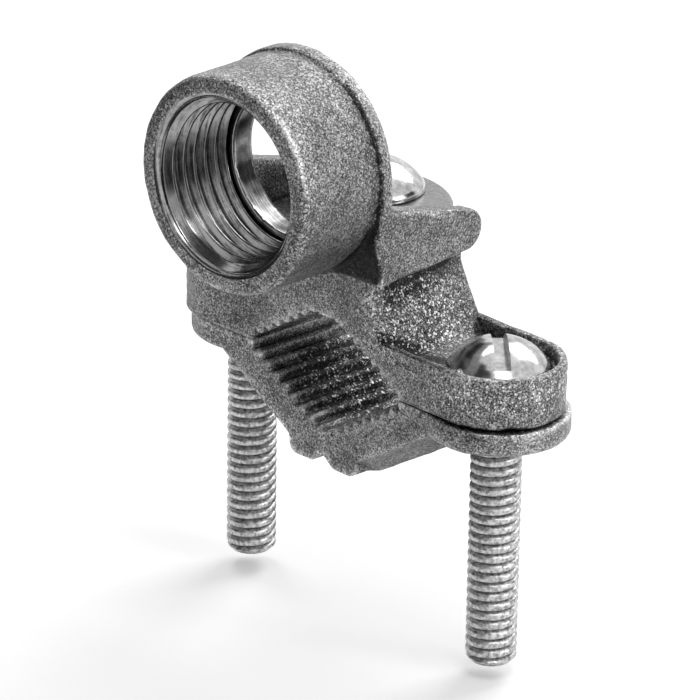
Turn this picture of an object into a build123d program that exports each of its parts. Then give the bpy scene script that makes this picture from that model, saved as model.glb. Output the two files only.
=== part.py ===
from build123d import *
import os
from math import atan2, cos, hypot, sin, tan

# Conduit ground clamp. Millimetres, +Z up.
# The origin is the centre of the pipe opening, on the face where the two jaws meet.
# X runs from screw to screw, Y runs along the pipe, and the hub's mouth faces -Y.

# Clamp screws: quarter-inch, 20 threads to the inch, slotted binding heads
screw_spacing = 44.2
screw_radius = 3.175
screw_length = 38.1
head_radius = 6.4
head_band = 0.8
head_dome = 3.5
slot_width = 1.9
slot_depth = 2.2
tip_chamfer = 0.7
left_slot_angle = 68.0
right_slot_angle = 141.0

# Clearances, on the radius or between faces
thread_clearance = 0.05
shank_clearance = 0.4
seat_clearance = 0.05
parting_gap = 0.25
plate_side_clearance = 0.35
plate_hole_clearance = 0.3

# Pipe opening between the jaws, with teeth along both flanks of each jaw
jaw_depth = 16.4
opening_half = 13.7
upper_apex = 7.1
upper_flat = 3.2
lower_apex = 8.1
lower_flat = 0.8
tooth_pitch = 1.86
tooth_depth = 0.6
tooth_crest = 0.6
tooth_root = 0.4

# Upper jaw: ears with a pocket for each screw head, and the block between them
ear_height = 6.5
pocket_wall = 1.0
left_ear_extra = 0.35
seat_height = 4.5
block_half_top = 7.15
block_half_foot = 11.8
block_flare_height = 12.6
block_bulge = 0.2
block_round = 0.6
rim_round = 0.3
ear_round = 0.4

# Lower jaw: a vee with bevelled lower edges, two feet and flat round ears, the left one smaller
lower_ear_radius_left = 8.3
lower_ear_radius_right = 8.9
left_ear_inset = 0.8
lower_ear_thickness = 3.0
lower_ear_round = 0.9
vee_thickness = 6.8
vee_edge_thickness = 4.9
vee_bevel_depth = 4.0
foot_bottom = 12.6
foot_round = 1.4
notch_half_width = 1.8
notch_rise = 1.4
notch_round = 0.8

# Conduit hub, half-inch pipe thread. The hub, its flange and the wire trough stand a little
# askew on the block: they are drawn straight and then turned about an upright line.
hub_turn = 4.5
hub_pivot_y = -7.0
hub_axis_height = 28.55
hub_length = 12.5
hub_radius_front = 13.5
hub_radius_rear = 13.6
hub_mouth_round = 0.9
thread_root_radius = 10.7
mouth_chamfer = 0.6
thread_length = 9.6
relief_length = 1.5
relief_depth = 0.3
stop_radius = 8.9

# Arched flange behind the hub, which is also the front of the wire trough
flange_rear = -12.1
flange_thickness = 1.9
flange_radius = 14.1
flange_round = 0.4

# Wire trough behind the flange
trough_wall = 2.6
trough_base = 16.1
trough_floor = 17.9
wall_top_front = 25.5
wall_top_rear = 21.9
wall_nose_radius = 2.6
wall_nose_y = 1.8
wall_round = 0.4
underside_round = 1.5

# Wire screw and the plate that it presses on the wire
wire_screw_y = -0.1
wire_screw_length = 10.8
wire_head_radius = 6.5
wire_hole_spare = 2.3
wire_slot_angle = 20.0
plate_thickness = 1.4
plate_top = 21.5
plate_front = -6.7
plate_front_corner = 6.5
plate_rear = 7.9
plate_arc_radius = 13.8
plate_round = 0.35

# Sizes that follow from those above
half_depth = jaw_depth / 2
ear_radius = half_depth
screw_x = screw_spacing / 2
pocket_radius = ear_radius - pocket_wall
trough_inner_half = flange_radius - trough_wall
flange_front = flange_rear - flange_thickness
hub_front = flange_front - hub_length
lower_top = -parting_gap
lower_ear_bottom = lower_top - lower_ear_thickness
clamp_head_z = seat_height + seat_clearance
wire_head_z = plate_top + seat_clearance
plate_half = trough_inner_half - plate_side_clearance
hub_place = Location((0, hub_pivot_y, 0), (0, 0, hub_turn)) * Location((0, -hub_pivot_y, 0))
hub_base = Plane(hub_place)
wire_screw_spot = hub_base.from_local_coords((0, wire_screw_y, 0))


def opening_outline(apex_height, apex_flat):
    """Corners of one jaw's half of the pipe opening, from the parting face to its apex."""
    return [
        (-opening_half, 0),
        (-apex_flat / 2, apex_height),
        (apex_flat / 2, apex_height),
        (opening_half, 0),
    ]


def groove_plane(side, apex_height, apex_flat):
    """Plane across a flank of the opening at its middle, with local y pointing into the metal."""
    along = Vector(apex_flat / 2 - opening_half, 0, apex_height)
    along = Vector(along.X * side, 0, along.Z)
    middle = Vector(side * opening_half, 0, 0) + along * 0.5
    facing = side if apex_height > 0 else -side
    return Plane(origin=middle, x_dir=along, z_dir=(0, facing, 0))


def groove_count(apex_height, apex_flat):
    """Number of whole tooth pitches that fit on a flank."""
    return int(hypot(opening_half - apex_flat / 2, apex_height) / tooth_pitch)


def groove_outline():
    """Section of the groove between two teeth."""
    half_mouth = (tooth_pitch - tooth_crest) / 2
    return [
        (-half_mouth, 0),
        (-tooth_root / 2, tooth_depth),
        (tooth_root / 2, tooth_depth),
        (half_mouth, 0),
    ]


def screw_section(x, y, length, head, head_z):
    """Half section of a binding-head screw about its own axis, with its head's underside at head_z."""
    with BuildSketch(Plane(origin=(x, y, head_z), x_dir=(1, 0, 0), z_dir=(0, -1, 0))) as section:
        with BuildLine():
            Polyline(
                (0, head_band + head_dome),
                (0, -length),
                (screw_radius - tip_chamfer, -length),
                (screw_radius, tip_chamfer - length),
                (screw_radius, 0),
                (head, 0),
                (head, head_band),
            )
            dome_radius = (head**2 + head_dome**2) / (2 * head_dome)
            half_angle = atan2(head, dome_radius - head_dome) / 2
            ThreePointArc(
                (head, head_band),
                (
                    dome_radius * sin(half_angle),
                    head_band + head_dome - dome_radius * (1 - cos(half_angle)),
                ),
                (0, head_band + head_dome),
            )
        make_face()
    return section.sketch


def screw_slot(x, y, head, head_z, angle):
    """Outline of the driver slot, on the plane of the slot's floor."""
    floor = Plane(origin=(x, y, head_z + head_band + head_dome - slot_depth))
    with BuildSketch(floor) as slot:
        Rectangle(2.2 * head, slot_width, rotation=angle)
    return slot.sketch


# Block of the upper jaw, with concave sides that flare down to the pocket floors
with BuildPart() as block:
    with BuildSketch(Plane.XZ):
        with BuildLine():
            foot = (block_half_foot, seat_height)
            neck = (block_half_top, block_flare_height)
            flare_middle = (
                (foot[0] + neck[0]) / 2 - block_bulge,
                (foot[1] + neck[1]) / 2 - block_bulge / 2,
            )
            Polyline((0, 0), (block_half_foot, 0), foot)
            ThreePointArc(foot, flare_middle, neck)
            Polyline(neck, (block_half_top, trough_floor), (0, trough_floor), (0, 0))
        make_face()
        mirror(about=Plane.YZ)
    extrude(amount=half_depth, both=True)
    end_edges = block.faces().filter_by(Plane.XZ).edges()
    fillet(
        end_edges.filter_by_position(
            Axis.Z, seat_height, trough_floor, inclusive=(False, False)
        ),
        block_round,
    )


# Hub, flange and wire trough of the upper jaw, drawn straight
with BuildPart() as hub_casting:
    # Trough: the side profile of its walls across the whole width, then the hollow
    with BuildSketch(Plane.YZ):
        with BuildLine():
            nose_z = wall_top_rear - wall_nose_radius
            nose_foot = (wall_nose_y, nose_z - wall_nose_radius)
            nose_tip = (wall_nose_y + wall_nose_radius, nose_z)
            nose_top = (wall_nose_y, wall_top_rear)
            Polyline(
                nose_foot,
                (flange_rear, trough_base),
                (flange_rear, wall_top_front),
                nose_top,
            )
            ThreePointArc(nose_top, nose_tip, nose_foot)
        make_face()
    extrude(amount=flange_radius, both=True)
    outer_edges = hub_casting.faces().filter_by(Plane.YZ).edges()
    fillet(outer_edges.sort_by(Axis.Y)[2:], wall_round)
    with BuildSketch(Plane.XY.offset(trough_floor)):
        with Locations((0, flange_rear + jaw_depth)):
            Rectangle(2 * trough_inner_half, 2 * jaw_depth)
    extrude(amount=wall_top_front - trough_floor, mode=Mode.SUBTRACT)
    inner_faces = hub_casting.faces().filter_by(Plane.YZ).filter_by_position(
        Axis.X, -trough_inner_half, trough_inner_half
    )
    inner_edges = inner_faces.edges().filter_by_position(
        Axis.Z, trough_floor, wall_top_front, inclusive=(False, True)
    )
    fillet(inner_edges.sort_by(Axis.Y)[2:], wall_round)

    # Arched flange
    with BuildSketch(Plane.XZ.offset(-flange_rear)):
        with Locations((0, hub_axis_height)):
            Circle(flange_radius)
        with Locations((0, (hub_axis_height + trough_base) / 2)):
            Rectangle(2 * flange_radius, hub_axis_height - trough_base)
    extrude(amount=flange_thickness)
    fillet(hub_casting.faces().sort_by(Axis.Y)[0].edges(), flange_round)

    # Hub, which tapers a little towards its mouth
    with BuildSketch(Plane.XZ.offset(-flange_front)):
        with Locations((0, hub_axis_height)):
            Circle(hub_radius_rear)
    with BuildSketch(Plane.XZ.offset(-hub_front)):
        with Locations((0, hub_axis_height)):
            Circle(hub_radius_front)
    loft()
    fillet(hub_casting.faces().sort_by(Axis.Y)[0].edges(), hub_mouth_round)

    # Hub bore: chamfered mouth, threaded length, relief groove and the stop for the conduit
    with BuildSketch(Plane.YZ):
        with BuildLine():
            root_z = hub_axis_height + thread_root_radius
            thread_end = hub_front + thread_length
            relief_end = thread_end + relief_length
            Polyline(
                (hub_front, hub_axis_height),
                (hub_front, root_z + mouth_chamfer),
                (hub_front + mouth_chamfer, root_z),
                (thread_end, root_z),
                (thread_end, root_z + relief_depth),
                (relief_end, root_z + relief_depth),
                (relief_end, hub_axis_height + stop_radius),
                (flange_rear, hub_axis_height + stop_radius),
                (flange_rear, hub_axis_height),
                close=True,
            )
        make_face()
    revolve(axis=Axis((0, 0, hub_axis_height), (0, 1, 0)), mode=Mode.SUBTRACT)


# Upper jaw, cast in one piece with the hub and the wire trough
with BuildPart() as upper_jaw:
    # Slab of both ears, with the head pockets sunk into it
    with BuildSketch(Plane.XY):
        with Locations((-left_ear_extra / 2, 0)):
            SlotCenterToCenter(screw_spacing + left_ear_extra, 2 * ear_radius)
    extrude(amount=ear_height)
    with BuildSketch(Plane.XY.offset(seat_height)):
        SlotCenterToCenter(screw_spacing, 2 * pocket_radius)
    extrude(amount=ear_height - seat_height, mode=Mode.SUBTRACT)
    fillet(upper_jaw.faces().sort_by(Axis.Z)[-1].edges(), rim_round)
    fillet(upper_jaw.faces().sort_by(Axis.Z)[0].edges(), ear_round)

    # Block and hub casting, with a concave round in the corner between them
    add(block.part)
    add(hub_casting.part.moved(hub_place))
    under_trough = (
        upper_jaw.edges()
        .filter_by_position(Axis.X, -block_half_top, block_half_top)
        .filter_by_position(Axis.Y, -half_depth, wall_nose_y + wall_nose_radius)
        .filter_by_position(Axis.Z, trough_base, trough_floor, inclusive=(True, False))
    )
    fillet(under_trough, underside_round)

    # Pipe opening and the grooves between its teeth
    with BuildSketch(Plane.XZ):
        Polygon(*opening_outline(upper_apex, upper_flat), align=None)
    extrude(amount=half_depth, both=True, mode=Mode.SUBTRACT)
    for side in (-1, 1):
        with BuildSketch(groove_plane(side, upper_apex, upper_flat)):
            with GridLocations(tooth_pitch, 0, groove_count(upper_apex, upper_flat), 1):
                Polygon(*groove_outline(), align=None)
        extrude(amount=half_depth, both=True, mode=Mode.SUBTRACT)

    # Clearance holes for the clamp screws, and a blind tapped hole for the wire screw
    with Locations((-screw_x, 0, seat_height), (screw_x, 0, seat_height)):
        Hole(screw_radius + shank_clearance, depth=seat_height)
    with Locations((wire_screw_spot.X, wire_screw_spot.Y, trough_floor)):
        Hole(
            screw_radius + thread_clearance,
            depth=trough_floor - wire_head_z + wire_screw_length + wire_hole_spare,
        )
upper_jaw.part.label = "upper_jaw"


# Lower jaw
with BuildPart() as lower_jaw:
    # Vee, whose underside runs parallel to the flanks of the opening
    slope = atan2(lower_apex, opening_half - lower_flat / 2)
    vee_drop = vee_thickness / cos(slope)
    ear_reach = opening_half + (vee_drop + lower_ear_bottom) / tan(slope)
    foot_half_width = opening_half - (foot_bottom - vee_drop) / tan(slope)
    with BuildSketch(Plane.XZ):
        Polygon(
            (-ear_reach, lower_top),
            (-ear_reach, lower_ear_bottom),
            (-foot_half_width, -foot_bottom),
            (foot_half_width, -foot_bottom),
            (ear_reach, lower_ear_bottom),
            (ear_reach, lower_top),
            align=None,
        )
    extrude(amount=half_depth, both=True)

    # Long bevels along the lower front and rear edges of the vee
    bevel_rise = vee_thickness - vee_edge_thickness
    for side in (-1, 1):
        outward = Vector(side * sin(slope), 0, -cos(slope))
        for end in (-1, 1):
            edge_point = Vector(side * opening_half, end * half_depth, 0) + outward * vee_thickness
            bevel_plane = Plane(
                origin=edge_point, x_dir=outward, z_dir=(cos(slope), 0, side * sin(slope))
            )
            with BuildSketch(bevel_plane):
                Polygon(
                    (bevel_rise, -end * vee_bevel_depth),
                    (0, -end * vee_bevel_depth),
                    (-bevel_rise, 0),
                    (-bevel_rise, end * bevel_rise),
                    (bevel_rise, end * bevel_rise),
                    align=None,
                )
            extrude(amount=2 * opening_half, both=True, mode=Mode.SUBTRACT)

    # Two feet at the bottom of the vee, with a rounded notch between them
    with BuildSketch(Plane.XZ):
        with BuildLine():
            Polyline(
                (0, -lower_apex),
                (foot_half_width, -lower_apex),
                (foot_half_width, foot_round - foot_bottom),
            )
            RadiusArc(
                (foot_half_width, foot_round - foot_bottom),
                (foot_half_width - foot_round, -foot_bottom),
                foot_round,
            )
            Polyline(
                (foot_half_width - foot_round, -foot_bottom),
                (0, -foot_bottom),
                (0, -lower_apex),
            )
        make_face()
        mirror(about=Plane.YZ)
    extrude(amount=half_depth, both=True)
    with BuildSketch(Plane.XZ):
        Polygon(
            (-notch_half_width, -foot_bottom),
            (0, notch_rise - foot_bottom),
            (notch_half_width, -foot_bottom),
            align=None,
        )
    extrude(amount=half_depth, both=True, mode=Mode.SUBTRACT)
    notch_edges = lower_jaw.edges().filter_by(Axis.Y).filter_by_position(
        Axis.X, -notch_half_width, notch_half_width
    )
    fillet(notch_edges.filter_by_position(Axis.Z, -foot_bottom, notch_rise - foot_bottom), notch_round)

    # Ears
    with BuildSketch(Plane.XY.offset(lower_ear_bottom)):
        with Locations((left_ear_inset - screw_x, 0)):
            Circle(lower_ear_radius_left)
        with Locations((screw_x, 0)):
            Circle(lower_ear_radius_right)
    extrude(amount=lower_ear_thickness)
    ear_edges = lower_jaw.edges().filter_by(GeomType.CIRCLE).filter_by_position(
        Axis.Z, lower_ear_bottom, lower_ear_bottom
    )
    fillet(ear_edges, lower_ear_round)

    # Pipe opening and the grooves between its teeth
    with BuildSketch(Plane.XZ):
        Polygon(*opening_outline(-lower_apex, lower_flat), align=None)
    extrude(amount=half_depth, both=True, mode=Mode.SUBTRACT)
    for side in (-1, 1):
        with BuildSketch(groove_plane(side, -lower_apex, lower_flat)):
            with GridLocations(tooth_pitch, 0, groove_count(-lower_apex, lower_flat), 1):
                Polygon(*groove_outline(), align=None)
        extrude(amount=half_depth, both=True, mode=Mode.SUBTRACT)

    # Tapped holes for the clamp screws
    with Locations((-screw_x, 0, 0), (screw_x, 0, 0)):
        Hole(screw_radius + thread_clearance, depth=foot_bottom)
lower_jaw.part.label = "lower_jaw"


# Clamp screws, hanging through the ears from their seats in the pockets
with BuildPart() as clamp_screw_left:
    add(screw_section(-screw_x, 0, screw_length, head_radius, clamp_head_z))
    revolve(axis=Axis((-screw_x, 0, 0), (0, 0, 1)))
    add(screw_slot(-screw_x, 0, head_radius, clamp_head_z, left_slot_angle))
    extrude(amount=2 * slot_depth, mode=Mode.SUBTRACT)
clamp_screw_left.part.label = "clamp_screw_left"

with BuildPart() as clamp_screw_right:
    add(screw_section(screw_x, 0, screw_length, head_radius, clamp_head_z))
    revolve(axis=Axis((screw_x, 0, 0), (0, 0, 1)))
    add(screw_slot(screw_x, 0, head_radius, clamp_head_z, right_slot_angle))
    extrude(amount=2 * slot_depth, mode=Mode.SUBTRACT)
clamp_screw_right.part.label = "clamp_screw_right"


# Wire screw, in the trough's floor
with BuildPart() as wire_screw:
    add(
        screw_section(
            wire_screw_spot.X, wire_screw_spot.Y, wire_screw_length, wire_head_radius, wire_head_z
        )
    )
    revolve(axis=Axis(wire_screw_spot, (0, 0, 1)))
    add(
        screw_slot(
            wire_screw_spot.X, wire_screw_spot.Y, wire_head_radius, wire_head_z, wire_slot_angle
        )
    )
    extrude(amount=2 * slot_depth, mode=Mode.SUBTRACT)
wire_screw.part.label = "wire_screw"


# Wire plate, under the wire screw's head, with rounded front corners and a bowed rear edge
with BuildPart() as wire_plate:
    with BuildSketch(hub_base.offset(plate_top - plate_thickness)) as plate_outline:
        with Locations((0, (plate_front + plate_rear) / 2)):
            Rectangle(2 * plate_half, plate_rear - plate_front)
        fillet(plate_outline.vertices().group_by(Axis.Y)[0], plate_front_corner)
        with Locations((0, plate_rear - plate_arc_radius)):
            Circle(plate_arc_radius, mode=Mode.INTERSECT)
        with Locations((0, wire_screw_y)):
            Circle(screw_radius + plate_hole_clearance, mode=Mode.SUBTRACT)
    extrude(amount=plate_thickness)
    fillet(wire_plate.faces().sort_by(Axis.Z)[-1].outer_wire().edges(), plate_round)
wire_plate.part.label = "wire_plate"


os.makedirs("parts", exist_ok=True)
pieces = (upper_jaw, lower_jaw, clamp_screw_left, clamp_screw_right, wire_screw, wire_plate)
for piece in pieces:
    export_step(piece.part, f"parts/{piece.part.label}.step")
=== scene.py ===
"""Looks of the conduit ground clamp: cast toothed jaws, plated screws, threaded hub, wire plate.

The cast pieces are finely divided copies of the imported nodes, so that their faces and edges can
carry the unevenness of a casting. The screws and the hub's thread are turned here in full.
"""

import logging
import math
from collections.abc import Callable, Iterable
from dataclasses import dataclass, field
from enum import Enum
from functools import cached_property

import bmesh
import bpy
import numpy as np
from bmesh.types import BMEdge, BMesh, BMFace, BMVert
from bpy.types import Material, Mesh, Node, NodeSocket, NodeTree, Object, World
from mathutils import Matrix, Vector, noise


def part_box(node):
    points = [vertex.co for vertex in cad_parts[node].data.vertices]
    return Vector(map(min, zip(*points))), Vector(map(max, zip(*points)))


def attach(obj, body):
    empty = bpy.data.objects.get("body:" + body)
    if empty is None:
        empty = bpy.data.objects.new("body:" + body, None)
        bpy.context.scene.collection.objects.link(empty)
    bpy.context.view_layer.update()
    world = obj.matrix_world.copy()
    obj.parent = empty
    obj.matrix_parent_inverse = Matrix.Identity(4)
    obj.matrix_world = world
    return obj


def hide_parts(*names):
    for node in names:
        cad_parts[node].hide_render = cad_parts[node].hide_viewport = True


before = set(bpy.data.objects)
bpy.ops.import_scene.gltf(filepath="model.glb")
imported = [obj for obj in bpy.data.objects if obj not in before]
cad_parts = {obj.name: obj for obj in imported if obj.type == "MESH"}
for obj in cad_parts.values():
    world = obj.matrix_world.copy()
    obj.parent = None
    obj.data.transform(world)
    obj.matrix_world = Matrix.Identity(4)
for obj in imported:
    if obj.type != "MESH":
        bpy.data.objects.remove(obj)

LOG = logging.getLogger("ground_clamp")
MM = 0.001
FULL_TURN = 2 * math.pi
# Metres within which two places count as one, and within which a cut meets a vertex.
NEAR = 1e-7
CUT_NEAR = 1e-9
# How soon a patch of painted shade, painted highlight, wear or coarse skin has its full value, from
# its edge inwards.
FADE_STEEPNESS = 1.6

Triple = tuple[float, float, float]
Tones = tuple[tuple[float, str], ...]
Outline = tuple[tuple[float, float], ...]
Links = dict[str | int, Node | NodeSocket]


class Body(Enum):
    """The moving bodies that the dressed pieces ride on."""

    CLAMP = "clamp_body"
    JAW = "jaw"
    LEFT_SCREW = "screw_left"
    RIGHT_SCREW = "screw_right"
    WIRE_SCREW = "wire_screw"


class Slot(Enum):
    """The record's material slots that the dressed pieces stand for."""

    CASTING = "casting"
    SCREW = "screw_steel"


class Skin(Enum):
    """Which of a cast piece's two finishes a face takes."""

    AS_CAST = 0
    MACHINED = 1


class Plating(Enum):
    """Which of a screw's two finishes a face takes."""

    BRIGHT = 0
    DULL = 1


# The hub's frame


@dataclass(frozen=True)
class HubAxis:
    """The hub's own frame: it is turned a little in plan against the jaws."""

    turn_deg: float = 4.5
    pivot_y_mm: float = -7.0
    height_mm: float = 28.55
    mouth_y_mm: float = -26.5

    def matrix(self) -> Matrix:
        """Takes a point drawn straight, in metres, to its turned place."""
        pivot = Vector((0.0, self.pivot_y_mm * MM, 0.0))
        turn = Matrix.Rotation(math.radians(self.turn_deg), 4, "Z")
        return Matrix.Translation(pivot) @ turn @ Matrix.Translation(-pivot)

    @cached_property
    def back(self) -> Matrix:
        """Takes a point from its turned place to its straight one, in metres."""
        return self.matrix().inverted()

    def straight(self, point: Vector) -> Vector:
        """Gives a point's place before the hub was turned, in mm."""
        return self.back @ point / MM

    def radius(self, straight: Vector) -> float:
        """Gives a straight point's distance from the bore's axis, in mm."""
        return math.hypot(straight.x, straight.z - self.height_mm)


HUB = HubAxis()


# Finishes


def linear(code: str) -> tuple[float, float, float, float]:
    """Turns an sRGB hex code such as "8A8A8A" into a linear colour with full alpha."""
    parts = [int(code[i : i + 2], 16) / 255 for i in (0, 2, 4)]
    r, g, b = (p / 12.92 if p <= 0.04045 else ((p + 0.055) / 1.055) ** 2.4 for p in parts)
    return (r, g, b, 1.0)


def per_mm(size_mm: float) -> float:
    """Gives the texture scale at which one cell of a pattern is size_mm wide."""
    return 1.0 / (size_mm * MM)


def empty_tree(owner: Material | World) -> NodeTree:
    """Gives a new material or world an empty node tree and returns it."""
    owner.use_nodes = True
    owner.node_tree.nodes.clear()
    return owner.node_tree


def add_node(
    tree: NodeTree, kind: str, settings: dict | None = None, links: Links | None = None
) -> Node:
    """Adds one shader node.

    Args:
        tree: The node tree that gets it.
        kind: The node's type name, less the ShaderNode that each begins with.
        settings: Values for its sockets, or for its properties where the key starts with a dot.
        links: What feeds its inputs, by input name or number: a socket, or a node's first output.

    Returns:
        The new node.
    """
    node = tree.nodes.new("ShaderNode" + kind)
    for key, value in (settings or {}).items():
        if isinstance(key, str) and key.startswith("."):
            setattr(node, key[1:], value)
        else:
            node.inputs[key].default_value = value
    for key, source in (links or {}).items():
        output = source.outputs[0] if isinstance(source, Node) else source
        tree.links.new(output, node.inputs[key])
    return node


def fill_ramp(node: Node, tones: Tones) -> Node:
    """Sets a colour ramp's stops and returns the node."""
    elements = node.color_ramp.elements
    while len(elements) < len(tones):
        elements.new(0.5)
    for element, (place, code) in zip(elements, tones):
        element.position = place
        element.color = linear(code)
    return node


def weigh(tree: NodeTree, level: Node, shares: Iterable[tuple[Node | NodeSocket, float]]) -> Node:
    """Adds values to a level, each times its share.

    Args:
        tree: The node tree that gets the nodes.
        level: What gives the first level.
        shares: What gives each value, with its share.

    Returns:
        The node that gives the sum.
    """
    for source, share in shares:
        weight = {".operation": "MULTIPLY_ADD", 1: share}
        level = add_node(tree, "Math", weight, {0: source, 2: level})
    return level


class Finish:
    """A metal finish: what the materials of all finishes share."""

    name: str
    metallic: float
    roughness: float
    bump_mm: float
    bump_strength: float = 1.0

    def make(self) -> Material:
        """Builds the material and returns it."""
        material = bpy.data.materials.new(self.name)
        tree = empty_tree(material)
        place = {"Vector": add_node(tree, "TexCoord").outputs["Object"]}
        relief, surface = self.paint(tree, place)
        relief_look = {"Strength": self.bump_strength, "Distance": self.bump_mm * MM}
        surface["Normal"] = add_node(tree, "Bump", relief_look, relief)
        metal_look = {"Metallic": self.metallic, "Roughness": self.roughness}
        shader = add_node(tree, "BsdfPrincipled", metal_look, surface)
        add_node(tree, "OutputMaterial", links={"Surface": shader})
        return material

    def paint(self, tree: NodeTree, place: Links) -> tuple[Links, Links]:
        """Adds the finish's own nodes.

        Args:
            tree: The material's node tree.
            place: Gives a texture the place on the piece.

        Returns:
            What feeds the bump node, and what feeds the shader.
        """
        raise NotImplementedError


@dataclass(frozen=True)
class CastZinc(Finish):
    """Zinc alloy as it comes from the mould: a dull grey skin of fine sparkling grains.

    The eye sees salt-and-pepper speckle, because every grain faces its own way. Concave corners
    are darker with painted shade and convex edges lighter, worn edges are lighter still, and a few
    lines carry painted shade or a painted highlight. Contrast and relief are given for plain skin,
    with what the coarsest skin adds.
    """

    name: str = "cast_zinc_alloy"
    tones: Tones = ((0.28, "1E1E1E"), (0.49, "585858"), (0.7, "B8B8B8"), (1.0, "FAFAFA"))
    grain_mm: float = 0.19
    pit_mm: float = 0.7
    sparkle_mm: float = 0.24
    cloud_mm: float = 5.0
    ragged: float = 0.7
    ragged_low: float = 0.16
    ragged_high: float = 0.6
    metallic: float = 0.92
    roughness: float = 0.34
    bump_mm: float = 0.22
    grain_share: float = 0.6
    facet_share: float = 0.22
    cloud_share: float = 0.2
    corner_shade_share: float = -0.17
    dirt_and_shade_share: float = -0.3
    wear_and_highlight_share: float = 0.16
    sparkle_share: float = 0.62
    sparkle_from: float = 0.76
    contrast: tuple[float, float] = (0.62, 0.5)
    relief: tuple[float, float] = (0.45, 0.55)
    facet_bump: float = 0.3
    pit_bump: float = 0.7

    def paint(self, tree: NodeTree, place: Links) -> tuple[Links, Links]:
        """Adds the finish's own nodes, as the base class says."""
        hollow, coarse, dirt_and_shade, wear_and_highlight = (
            add_node(tree, "Attribute", {".attribute_name": name}).outputs["Fac"]
            for name in ("hollow", "coarse", "dirt_and_shade", "wear_and_highlight")
        )
        grain_look = {"Scale": per_mm(self.grain_mm), "Detail": 2.0, "Roughness": 0.6}
        grain = add_node(tree, "TexNoise", grain_look, place)
        cloud, pits = (
            add_node(tree, "TexNoise", {"Scale": per_mm(size), "Detail": 3.0}, place)
            for size in (self.cloud_mm, self.pit_mm)
        )
        cells = []
        for size in (self.grain_mm, self.sparkle_mm):
            cell = add_node(tree, "TexVoronoi", {"Scale": per_mm(size)}, place)
            colour = {"Color": cell.outputs["Color"]}
            cells.append(add_node(tree, "SeparateColor", links=colour).outputs)
        facet, glint = cells
        ragged = []
        for source in (dirt_and_shade, wear_and_highlight):
            uneven = weigh(tree, source, [(pits, self.ragged)])
            middle = 0.5 * self.ragged
            span = {"From Min": middle + self.ragged_low, "From Max": middle + self.ragged_high}
            ragged.append(add_node(tree, "MapRange", span, {"Value": uneven}))
        ragged_dirt_and_shade, ragged_wear_and_highlight = ragged
        span = {"From Min": self.sparkle_from, "From Max": 1.0, "To Max": self.sparkle_share}
        bright_grain = add_node(tree, "MapRange", span, {"Value": glint["Blue"]})
        glitter = add_node(tree, "Math", {".operation": "ADD"}, {0: ragged_wear_and_highlight, 1: coarse})
        sparkle = add_node(tree, "Math", {".operation": "MULTIPLY"}, {0: bright_grain, 1: glitter})
        contrast, strength = (
            add_node(tree, "Math", {".operation": "MULTIPLY_ADD", 1: more, 2: plain}, {0: coarse})
            for plain, more in (self.contrast, self.relief)
        )
        centred = add_node(tree, "Math", {".operation": "SUBTRACT", 1: 0.5}, {0: grain})
        middle = {".operation": "MULTIPLY_ADD", 2: 0.5 * self.grain_share}
        level = add_node(tree, "Math", middle, {0: centred, 1: contrast})
        shares = (
            (sparkle, 1.0),
            (facet["Red"], self.facet_share),
            (cloud, self.cloud_share),
            # Painted shade: concave corners are darker and convex edges lighter, by the corner
            # depth.
            (hollow, self.corner_shade_share),
            # Painted shade and swarf darken the tone.
            (ragged_dirt_and_shade, self.dirt_and_shade_share),
            # Wear on convex edges and painted highlights lighten the tone.
            (ragged_wear_and_highlight, self.wear_and_highlight_share),
        )
        level = weigh(tree, level, shares)
        tone = fill_ramp(add_node(tree, "ValToRGB", links={"Fac": level}), self.tones)
        bumps = ((facet["Green"], self.facet_bump), (pits, self.pit_bump))
        height = weigh(tree, grain, bumps)
        return {"Height": height, "Strength": strength}, {"Base Color": tone}


@dataclass(frozen=True)
class MachinedZinc(Finish):
    """Zinc alloy cut by a tap and a boring tool: bright, with fine rings left by the cutter.

    The eye sees long clear reflections round the bore, broken by thin rings and small torn spots.
    """

    name: str = "machined_zinc_alloy"
    tones: Tones = ((0.55, "4E4E4E"), (0.85, "A4A4A4"))
    # Colour of the painted dark reflection on the hub's thread and of swarf in the bore.
    swarf_and_shade_colour: str = "0C0C0C"
    ring_mm: float = 0.16
    ring_stretch: float = 0.03
    tear_mm: float = 0.8
    tear_share: float = 0.6
    metallic: float = 1.0
    roughness: float = 0.2
    bump_mm: float = 0.012
    bump_strength: float = 0.5

    def paint(self, tree: NodeTree, place: Links) -> tuple[Links, Links]:
        """Adds the finish's own nodes, as the base class says."""
        lie = {
            "Rotation": (0.0, 0.0, -math.radians(HUB.turn_deg)),
            "Scale": (self.ring_stretch, 1.0, self.ring_stretch),
        }
        along = add_node(tree, "Mapping", lie, place)
        ring_look = {"Scale": per_mm(self.ring_mm), "Detail": 2.0}
        rings = add_node(tree, "TexNoise", ring_look, {"Vector": along})
        tear_look = {"Scale": per_mm(self.tear_mm), "Detail": 4.0, "Roughness": 0.7}
        tears = add_node(tree, "TexNoise", tear_look, place)
        mixed = weigh(tree, rings, [(tears, self.tear_share)])
        tone = fill_ramp(add_node(tree, "ValToRGB", links={"Fac": mixed}), self.tones)
        # The painted dark reflection on the hub's thread and swarf in the bore darken the tone.
        dirt_and_shade = add_node(tree, "Attribute", {".attribute_name": "dirt_and_shade"}).outputs["Fac"]
        swarf_and_shade_colour = {".data_type": "RGBA", 7: linear(self.swarf_and_shade_colour)}
        with_swarf_and_shade = add_node(tree, "Mix", swarf_and_shade_colour, {0: dirt_and_shade, 6: tone}).outputs[2]
        return {"Height": mixed}, {"Base Color": with_swarf_and_shade}


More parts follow.
